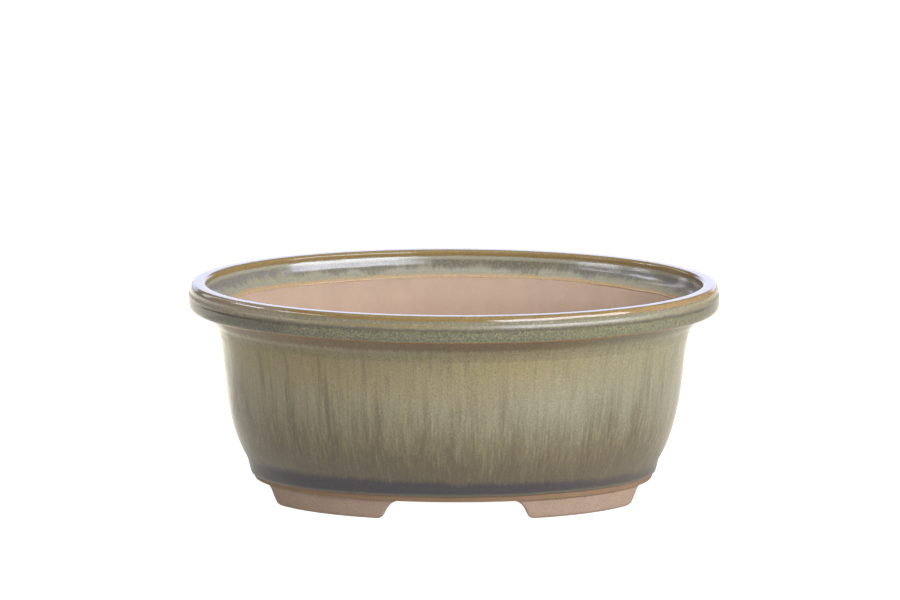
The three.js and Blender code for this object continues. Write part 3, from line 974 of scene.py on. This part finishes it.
# Tints, in the order they are laid on: colour, strength and shares
UNDER_TINTS = (
    ("straw", 0.75, ("dashes", 0.46, 0.66), ("waist", 1, 12)),
    ("sage", 0.30, ("threads", 0.50, 0.70)),
)
VEIL_TINTS = (
    ("sage", 1.0, ("green", 0.36, 0.70)),
    ("ash", 1.0, ("ashen",), ("waist", 8, 28), ("waist", 50, 30)),
    ("brown", 0.35, ("streaks", 0.50, 0.36), ("right", -10, -55)),
    ("brown", 0.24, ("runs", 0.50, 0.28)),
    ("brown", 0.18, ("threads", 0.52, 0.30)),
    ("pale", 0.16, ("threads", 0.54, 0.72)),
    ("pale", 0.12, ("right", 4, 32), ("right", 64, 36), ("waist", 20, 36), ("waist", 56, 40)),
)
WALL_TINTS = (
    ("brown", 0.38, ("waist", 26, 0)),
    # Browner above the ridge: partly the thinner coat, partly painted shade of the lip's shadow. The pale
    # tint on the ridge itself, two rows down, is partly lighter glaze and partly a painted highlight along
    # that shadow's edge
    ("brown", 0.22, ("ridge", -0.5, 0.7)),
    ("sage", 0.5, ("blots", 0.48, 0.66), ("ridge", 0.0, 0.5)),
    ("pale", 0.15, ("blots", 0.40, 0.64), ("ridge", -0.5, -0.1), ("ridge", 0.3, -0.1)),
    # Rust on the neck under the lip: partly the glaze's own colour, partly painted shade of the lip's shadow
    ("rust", 0.7, ("neck_edge", 6.0, 8.6), ("neck_fade",)),
    ("pool", 1.0, ("pool_edge", 5.3, 1.8), ("pool_fade",)),
    ("olive", 0.85, ("fringe", 2.4, 1.2)),
    ("rust", 0.8, ("fringe", 1.1, 0.6)),
)
LIP_TINTS = (
    ("slate", 0.85, *BEAD, ("speckle", 0.38, 0.62), ("bead_fade",)),
    ("pale", 0.75, ("shoulder", -0.1, 0.9), ("band_top", 0.5, -0.5), ("mottle", 0.54, 0.68)),
    ("ochre", 0.55, *BAND, ("right", 15, -15)),
    ("pale", 0.4, *BAND, *FRONT_RIGHT),
    ("taupe", 0.8, ("shoulder", -0.2, 0.8), ("top_out", 0.5, -0.5), LEFT_END),
    ("slate", 0.48, *BEAD, LEFT_END),
    ("ochre", 0.45, ("shoulder", -0.2, 0.8), ("band_top", 0.1, -0.9), RIGHT_END),
    # At the right end, the brown bead and the darker line are painted reflection of dark surroundings
    ("brown", 0.45, ("bead_foot", 2.2, 3.0), ("shoulder", 0.4, -0.4), RIGHT_END),
    ("slate", 0.6, ("bead_top", -0.3, 0.3), ("shoulder", 0.2, -0.4), RIGHT_END),
    ("honey", 0.35, ("brow", -1.5, -0.9), ("top_out", 0.3, -0.3), ("right", 45, 80)),
)
COVE_TINTS = (
    ("haze", 1.0, ("aside", 35, 80)),
    ("ash", 0.45, ("mottle", 0.46, 0.66)),
)
RIM_TINTS = (("honey", 0.9, ("inner_rim", 4.0, 1.4)),)
PIT_TINTS = (("pool", 0.7, ("pit", 0.035, 0.02), ("pit_chance", 0.78, 0.80)),)

# Colours along the lip: a mark, how many millimetres past it, and the colour there
LIP_STOPS = (
    ("seat", 0.2, "rust"),
    ("bead_foot", 0.0, "rust"),
    ("bead_foot", 1.0, "russet"),
    ("bead_foot", 2.2, "russet"),
    ("bead_foot", 2.8, "moss"),
    ("bead_top", 0.0, "moss"),
    ("line", 0.0, "olive"),
    ("shoulder", -0.35, "olive"),
    ("shoulder", 0.25, "fog"),
    ("band", 0.3, "fog"),
    ("brow", -1.4, "fog"),
    ("brow", -0.8, "amber"),
    ("brow", 0.0, "amber"),
    ("top_out", 0.3, "ochre"),
    ("top_in", 0.0, "ochre"),
    ("inner_edge", 0.6, "ochre"),
    ("cove", -0.8, "amber"),
    # Pale on the ledge inside the lip: partly pale glaze, partly painted reflection of the bright studio
    ("cove", 0.2, "pale"),
    ("ledge", 0.0, "ash"),
    ("glaze_end", -2.4, "pale"),
)
LIP_SHIFT = 0.8
LIP_MARGIN = 1.0

# Strength of the glaze's grains, spacing of its pits and depth of its bumps, in millimetres
GRAIN_STRENGTH = 0.20
SAND_STRENGTH = 0.22
COVE_STRENGTH = 0.9
PIT_SPACING = 9.0
SWELL_DEPTH = 0.08
SAND_DEPTH = 0.012

# Gloss of the glaze: plain, and what bloom, the lip's shoulder and the cove add to it
GLAZE_ROUGHNESS = 0.05
BLOOM_ROUGHNESS = 0.10
SHOULDER_ROUGHNESS = 0.22
COVE_ROUGHNESS = 0.10
GLAZE_SPECULAR = 0.6
GLAZE_MIRROR = (0.82, 0.86, 1.0)


def glaze_values(finish, mark):
    """What the glaze's colours depend on, by name: the distance past marks of the section, the coat's other
    numbers, the place along the pot, pits, noises, and the sums and fades of these."""
    flow = finish.vector("flow")
    along = finish.number("along")
    values = {name: finish.calc("SUBTRACT", along, mark[name] / MM) for name in GLAZE_MARKS}
    values.update({name: finish.number(name) for name in ("from_lower", "to_inner", "flame_top")})
    values["right"] = finish.part(flow, "X")
    values["aside"] = finish.calc("ABSOLUTE", values["right"])
    values["pit"], values["pit_chance"] = finish.cells(flow, PIT_SPACING)
    for name, shape in GLAZE_NOISES.items():
        values[name] = finish.drawn_out(flow, *shape)
    for name, terms in GLAZE_SUMS.items():
        values[name] = finish.total(*[(values[term], factor) for term, factor in terms.items()])
    for name, (start, change, *shares) in GLAZE_FADES.items():
        values[name] = finish.total((finish.product(values, shares), change), plus=start)
    return values


def glaze_wall_colour(finish, glaze, values):
    """The wall: a pale veil that hangs down in runs between brown-grey flames with pointed tops, a thinner
    coat above the ridge, browner there and rust on the neck, partly painted shade of the lip's shadow, a
    faint pale line on the ridge, partly a painted highlight, and a dark pool below the waist."""
    under = finish.tinted(glaze.brown, UNDER_TINTS, glaze, values)
    over = finish.tinted(glaze.tan, VEIL_TINTS, glaze, values)
    wall = finish.mix(finish.product(values, VEIL_HANGS), under, over)
    return finish.tinted(wall, WALL_TINTS, glaze, values)


def glaze_lip_colour(finish, glaze, mark, values):
    """The lip: rust below, a mottled band, a dark line, a milky band, amber edges, painted dark reflection on
    the bead and line at the right end, a pale ledge inside that is partly painted reflection, and a broken
    grey pool in the cove inside. Its colours stand at places along the section, which wander a little."""
    length = (mark["glaze_end"] - mark["seat"]) / MM + LIP_MARGIN
    stops = []
    for name, offset, tint in LIP_STOPS:
        place = (mark[name] - mark["seat"]) / MM + offset
        stops.append((place / length, getattr(glaze, tint)))
    lip = finish.ramp(finish.share(values["lip_place"], LIP_SHIFT, LIP_SHIFT + length), stops)
    lip = finish.tinted(lip, LIP_TINTS, glaze, values)
    pool = finish.tinted(glaze.mist, COVE_TINTS, glaze, values)
    lip = finish.mix(finish.product(values, COVE_POOL, COVE_STRENGTH), lip, pool)
    return finish.tinted(lip, RIM_TINTS, glaze, values)


def glaze_finish(glaze, mark):
    """Glossy olive glaze: pale runs on the wall, bands on the lip, fine grain and a few pinholes."""
    finish = Finish("olive_glaze")
    values = glaze_values(finish, mark)
    wall = glaze_wall_colour(finish, glaze, values)
    lip = glaze_lip_colour(finish, glaze, mark, values)
    shade = finish.mix(finish.product(values, LIP_BEGINS), wall, lip)
    shade = finish.grained(shade, values["grain"], GRAIN_STRENGTH)
    shade = finish.grained(shade, values["sand"], SAND_STRENGTH)
    shade = finish.tinted(shade, PIT_TINTS, glaze, values)
    normal = finish.bump(values["swell"], SWELL_DEPTH)
    normal = finish.bump(values["sand"], SAND_DEPTH, normal)
    slope = finish.product(values, SHOULDER_SLOPE)
    cove = finish.rise(values["cove"], 0.0, (mark["ledge"] - mark["cove"]) / MM)
    terms = (values["bloom"], BLOOM_ROUGHNESS), (slope, SHOULDER_ROUGHNESS), (cove, COVE_ROUGHNESS)
    inputs = {"Base Color": shade, "Roughness": finish.total(*terms, plus=GLAZE_ROUGHNESS), "Normal": normal}
    return finish.surface({**inputs, "Specular Tint": GLAZE_MIRROR, "Specular IOR Level": GLAZE_SPECULAR})


# Bare clay: noises as width in millimetres, stretch where there is one, detail and roughness
CLAY_CLOUDS = (11, 2, 3.0, 0.6)
CLAY_GRAIN = (0.5, 3.0, 0.6)
CLAY_SPECKS = (0.42, 1.0)
CLAY_DENTS = (3.0, 2.0)

# Bare clay: how strong its clouds and grains are, where specks begin, how deep it is dented, and its gloss
CLOUD_STRENGTH = 0.30
SMOOTH_STRENGTH = 0.2
GRIT_STRENGTH = 0.4
SPECK_ENDS = (0.58, 0.72)
DENT_DEPTH = 0.06
CLAY_GRAIN_DEPTH = 0.05
CLAY_ROUGHNESS = 0.82

# How gritty each piece is, from 0 to 1, and where the floor's toasted edge begins and ends
FLOOR_GRIT = 0.3
WALL_GRIT = 0.15
FOOT_GRIT = 0.7
TOASTED_ENDS = (0.86, 0.93)


def clay_finish(name, clay, main, grit):
    """Bare stoneware: slow clouds, fine grains, dark specks, and a grain that can be felt.

    Its main shade is a colour, or a function that makes one from the finish and the place."""
    finish = Finish(name)
    place = finish.place()
    shade = main(finish, place) if callable(main) else main
    clouds = finish.drawn_out(place, *CLAY_CLOUDS)
    grain = finish.noise(place, *CLAY_GRAIN)
    contrast = SMOOTH_STRENGTH + GRIT_STRENGTH * grit
    evened = 1 - (CLOUD_STRENGTH + contrast) / 2
    light = finish.total((clouds, CLOUD_STRENGTH), (grain, contrast), plus=evened)
    values = {"specks": finish.noise(place, *CLAY_SPECKS)}
    specks = (("speck", grit, ("specks", *SPECK_ENDS)),)
    shade = finish.tinted(finish.brightened(shade, light), specks, clay, values)
    normal = finish.bump(finish.noise(place, *CLAY_DENTS), DENT_DEPTH)
    normal = finish.bump(grain, CLAY_GRAIN_DEPTH, normal)
    return finish.surface({"Base Color": shade, "Roughness": CLAY_ROUGHNESS, "Normal": normal})


def floor_finish(pot, clay):
    """The floor's clay, toasted on its edge, beyond the oval (x / a)^2 + (y / b)^2 = 1 within the waist."""

    def shade(finish, place):
        a = pot.waist_reach / MM
        b = a - pot.stretch / MM
        oval = finish.scaled(place, (1 / a, 1 / b, 0))
        parts = [finish.part(oval, axis) for axis in "XY"]
        square = finish.calc("ADD", *[finish.calc("MULTIPLY", part, part) for part in parts])
        toasted = finish.rise(square, *TOASTED_ENDS)
        return finish.mix(toasted, clay.inside, clay.toasted)

    return clay_finish("floor_clay", clay, shade, FLOOR_GRIT)


# Operators, panel and registration


class POT_OT_stage(Operator):
    """Sets up the camera, the pale floor and the soft studio light"""

    bl_idname = "pot.stage"
    bl_label = "Studio"

    def execute(self, context):
        add_camera(context.scene)
        add_floor(context.scene)
        add_lights(context.scene)
        return {"FINISHED"}


class POT_OT_floor(Operator):
    """Adds the floor, with its rounded edge, drain holes and wire holes"""

    bl_idname = "pot.floor"
    bl_label = "Floor"

    def execute(self, context):
        pot = context.scene.pot_sizes
        clay = context.scene.pot_clay
        material = floor_finish(pot, clay)
        add_piece("floor_clay", floor_mesh(pot, section_line(pot)), material, "clay", "floor_slab")
        return {"FINISHED"}


class POT_OT_wall(Operator):
    """Adds the oval wall"""

    bl_idname = "pot.wall"
    bl_label = "Wall"

    def execute(self, context):
        pot = context.scene.pot_sizes
        clay = context.scene.pot_clay
        material = clay_finish("wall_clay", clay, clay.inside, WALL_GRIT)
        add_piece("wall_clay", wall_mesh(pot, section_line(pot)), material, "clay", "wall")
        return {"FINISHED"}


class POT_OT_lip(Operator):
    """Adds the out-turned lip"""

    bl_idname = "pot.lip"
    bl_label = "Lip"

    def execute(self, context):
        pot = context.scene.pot_sizes
        clay = context.scene.pot_clay
        material = clay_finish("lip_clay", clay, clay.inside, WALL_GRIT)
        add_piece("lip_clay", lip_mesh(pot, section_line(pot)), material, "clay", "lip")
        return {"FINISHED"}


class POT_OT_glaze(Operator):
    """Adds the coat of glaze"""

    bl_idname = "pot.glaze"
    bl_label = "Glaze"

    def execute(self, context):
        pot = context.scene.pot_sizes
        line = section_line(pot)
        material = glaze_finish(context.scene.pot_glaze, line.mark)
        add_piece("olive_glaze", glaze_mesh(pot, line), material, "glaze", "glaze_coat")
        return {"FINISHED"}


class POT_OT_feet(Operator):
    """Adds the four feet"""

    bl_idname = "pot.feet"
    bl_label = "Feet"

    def execute(self, context):
        pot = context.scene.pot_sizes
        clay = context.scene.pot_clay
        material = clay_finish("foot_clay", clay, clay.feet, FOOT_GRIT)
        for depth, side_y in (("front", -1), ("back", 1)):
            for side, side_x in (("left", -1), ("right", 1)):
                name = f"foot_clay_{depth}_{side}"
                mesh = foot_mesh(pot, name, side_x, side_y)
                add_piece(name, mesh, material, "foot_clay", f"foot_{depth}_{side}")
        return {"FINISHED"}


class POT_PT_panel(Panel):
    """Lists the pieces, sizes and colours of the pot"""

    bl_idname = "POT_PT_panel"
    bl_label = "Oval bonsai pot"
    bl_space_type = "VIEW_3D"
    bl_region_type = "UI"
    bl_category = "Pot"

    def draw(self, context):
        column = self.layout.column(align=True)
        for operator in OPERATORS:
            column.operator(operator.bl_idname)
        for group in (context.scene.pot_sizes, context.scene.pot_glaze, context.scene.pot_clay):
            box = self.layout.box().column(align=True)
            for name in group.bl_rna.properties.keys():
                if name not in ("rna_type", "name"):
                    box.prop(group, name)


# Camera, floor and light

CAMERA_DISTANCE = 3.4
CAMERA_AZIMUTH = math.radians(-1.3)
CAMERA_ELEVATION = math.radians(10.75)
CAMERA_ROLL = math.radians(0.27)
CAMERA_SIGHT = 100.0
TARGET_LEVEL = 43.5 * MM
PICTURE_WIDTH = 900
PICTURE_HEIGHT = 600
FOCAL_PIXELS = 8589
TARGET_PIXEL = (453.65, 387.6)
SENSOR = 36.0

WHITE = (1.0, 1.0, 1.0)
CREAM = (0.90, 0.86, 0.74)
COOL = (0.65, 0.72, 1.0)
SURROUND = 0.165

# The floor's discs: rings from the inner to the outer reach in metres, steps round, and finish
DISC_REACH = (0.05, 12.0)
DISC_RINGS = 24
DISC_STEPS = 96
DISC_ROUGHNESS = 0.9
DISC_SPECULAR = 0.2

# The floor's shine in the glaze: in front of the pot and how much more behind it, and how much less of that
# close beside the pot, a painted shadow of the pot, and more behind it on the left, a painted pool of light.
# Shares are along places in millimetres
SHINE_FRONT = 1.05
SHINE_BEHIND = 0.25
PAINTED_SHADOW_BESIDE = -0.7
PAINTED_LIGHT_LEFT = 0.5
BEHIND_POT = (("Y", -140, 60),)
BESIDE_POT = (("aside", 35, 85), ("aside", 125, 75), ("Y", -30, 30), ("Y", 110, 50))
BEHIND_LEFT = (("X", -95, -150), ("Y", 90, 150))

# Softboxes: azimuth and elevation in degrees, distance, width and height in metres, power in watts, colour,
# and what is switched off: none is in the picture, some only light the pot and some only shine in the glaze
UNSEEN = ("visible_camera",)
LIGHTS_ONLY = ("visible_camera", "visible_glossy")
SHINES_ONLY = ("visible_camera", "visible_diffuse")
SOFTBOXES = {
    "key": (42, 29, 1.5, 1.35, 0.42, 23, WHITE, UNSEEN),
    "overhead": (0, 80, 1.4, 1.4, 1.0, 4.1, WHITE, UNSEEN),
    "left_fill": (-85, 29, 1.5, 1.0, 0.4, 3.6, WHITE, LIGHTS_ONLY),
    "left_strip": (-61, 29, 1.5, 0.5, 0.17, 2.3, WHITE, SHINES_ONLY),
    "left_side": (-93, 29, 1.5, 0.5, 0.26, 4.0, WHITE, SHINES_ONLY),
    "left_window": (-128, 28, 1.5, 0.3, 1.0, 2.6, WHITE, SHINES_ONLY),
    "back": (180, 11, 2.2, 3.0, 0.6, 13, COOL, UNSEEN),
}


def aimed_from(azimuth, elevation, distance):
    """The place and turn of something that looks at the pot's middle from a bearing off its front."""
    level = math.cos(elevation)
    away = Vector((math.sin(azimuth) * level, -math.cos(azimuth) * level, math.sin(elevation)))
    aim = (-away).to_track_quat("-Z", "Y").to_matrix().to_4x4()
    return Matrix.Translation(Vector((0, 0, TARGET_LEVEL)) + distance * away) @ aim


def switch_off(thing, switches):
    """Switches off some of what may see a disc or a light."""
    for switch in switches:
        setattr(thing, switch, False)


def add_camera(scene):
    """A long lens in front of the pot and a little above it, aimed at the pot's middle.

    The lens is shifted so that the middle falls on its place in the picture."""
    data = bpy.data.cameras.new("camera")
    data.sensor_width = SENSOR
    data.lens = FOCAL_PIXELS / PICTURE_WIDTH * SENSOR
    data.shift_x = (PICTURE_WIDTH / 2 - TARGET_PIXEL[0]) / PICTURE_WIDTH
    data.shift_y = (TARGET_PIXEL[1] - PICTURE_HEIGHT / 2) / PICTURE_WIDTH
    data.clip_end = CAMERA_SIGHT
    camera = bpy.data.objects.new("camera", data)
    roll = Matrix.Rotation(CAMERA_ROLL, 4, "Z")
    camera.matrix_world = aimed_from(CAMERA_AZIMUTH, CAMERA_ELEVATION, CAMERA_DISTANCE) @ roll
    scene.collection.objects.link(camera)
    scene.camera = camera


def floor_shine(finish):
    """How brightly the floor shines: a value in front and more behind, times 1 plus what is added or taken
    away: a painted shadow close beside the pot and a painted pool of light behind it on the left."""
    place = finish.place()
    values = {axis: finish.part(place, axis) for axis in "XY"}
    values["aside"] = finish.calc("ABSOLUTE", values["X"])
    glow = finish.total((finish.product(values, BEHIND_POT), SHINE_BEHIND), plus=SHINE_FRONT)
    # Painted shadow of the pot close beside it, and a painted pool of light behind it on the left
    beside = finish.product(values, BESIDE_POT)
    left = finish.product(values, BEHIND_LEFT)
    return finish.calc("MULTIPLY", glow, finish.total((beside, PAINTED_SHADOW_BESIDE), (left, PAINTED_LIGHT_LEFT), plus=1.0))


# The floor's discs: level in millimetres, grey, colour and strength of the light they give off, and what is
# switched off
FLOOR_DISCS = {
    "pale_floor": (-0.05, 0.35, WHITE, 0.97, ("visible_diffuse", "visible_glossy", "visible_shadow")),
    "floor_bounce": (-0.10, 0.68, WHITE, 0.12, ("visible_camera", "visible_glossy")),
    "floor_shine": (-0.15, 0.0, CREAM, floor_shine, ("visible_camera", "visible_diffuse", "visible_shadow")),
}


def add_disc(scene, name, level, shade, tint, glow, off):
    """A wide disc under the feet, in rings that widen by an even factor, which gives off some light itself.

    Its glow is a number, or a function that makes one from the finish."""
    radius = np.geomspace(*DISC_REACH, DISC_RINGS)[:, None]
    angle = ring_angles(DISC_STEPS)
    rings = [radius * np.cos(angle), radius * np.sin(angle), 0 * radius * angle + level * MM]
    points = np.stack(rings, axis=-1).reshape(-1, 3)
    faces = grid_faces(len(radius), len(angle), False).tolist()
    faces.append(list(range(len(angle)))[::-1])
    mesh = bpy.data.meshes.new(name)
    mesh.from_pydata(points.tolist(), [], faces)
    face_outward(mesh)
    finish = Finish(name)
    strength = glow(finish) if callable(glow) else glow
    inputs = {"Base Color": (shade, shade, shade), "Roughness": DISC_ROUGHNESS}
    inputs["Specular IOR Level"] = DISC_SPECULAR
    mesh.materials.append(finish.surface({**inputs, "Emission Color": tint, "Emission Strength": strength}))
    disc = bpy.data.objects.new(name, mesh)
    switch_off(disc, off)
    scene.collection.objects.link(disc)


def add_floor(scene):
    """A pale floor in three discs: what the camera sees of it, a greyer one that lights the pot from below,
    and what shines in the glaze."""
    for name, values in FLOOR_DISCS.items():
        add_disc(scene, name, *values)


def add_softbox(scene, name, azimuth, elevation, distance, wide, high, power, shade, off):
    """A rectangular softbox at a bearing from the front of the pot, in degrees, aimed at the pot."""
    data = bpy.data.lights.new(name, "AREA")
    data.shape = "RECTANGLE"
    data.size = wide
    data.size_y = high
    data.energy = power
    data.color = shade
    light = bpy.data.objects.new(name, data)
    light.matrix_world = aimed_from(math.radians(azimuth), math.radians(elevation), distance)
    switch_off(light, off)
    scene.collection.objects.link(light)


def add_lights(scene):
    """A grey-white surround, a long key strip in front on the right, a wide softbox overhead, a cool panel
    low at the back, and on the left a soft fill and three strips that are only seen in the glaze."""
    world = bpy.data.worlds.new("studio")
    world.use_nodes = True
    background = world.node_tree.nodes["Background"]
    background.inputs["Color"].default_value = (*WHITE, 1.0)
    background.inputs["Strength"].default_value = SURROUND
    scene.world = world
    scene.view_settings.view_transform = "Standard"
    for name, values in SOFTBOXES.items():
        add_softbox(scene, name, *values)


OPERATORS = (POT_OT_stage, POT_OT_floor, POT_OT_wall, POT_OT_lip, POT_OT_feet, POT_OT_glaze)
GROUPS = {"pot_sizes": PotSizes, "pot_glaze": GlazeColours, "pot_clay": ClayColours}


def register():
    """Makes the sizes, colours, operators and panel known to Blender."""
    for name, group in GROUPS.items():
        bpy.utils.register_class(group)
        setattr(bpy.types.Scene, name, PointerProperty(type=group))
    for operator in OPERATORS:
        bpy.utils.register_class(operator)
    bpy.utils.register_class(POT_PT_panel)


def unregister():
    """Takes back what register made known."""
    bpy.utils.unregister_class(POT_PT_panel)
    for operator in reversed(OPERATORS):
        bpy.utils.unregister_class(operator)
    for name, group in GROUPS.items():
        delattr(bpy.types.Scene, name)
        bpy.utils.unregister_class(group)


def main():
    """Builds the studio and the pot."""
    register()
    bpy.ops.pot.stage()
    bpy.ops.pot.floor()
    bpy.ops.pot.wall()
    bpy.ops.pot.lip()
    bpy.ops.pot.feet()
    bpy.ops.pot.glaze()
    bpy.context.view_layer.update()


if __name__ == "__main__":
    main()
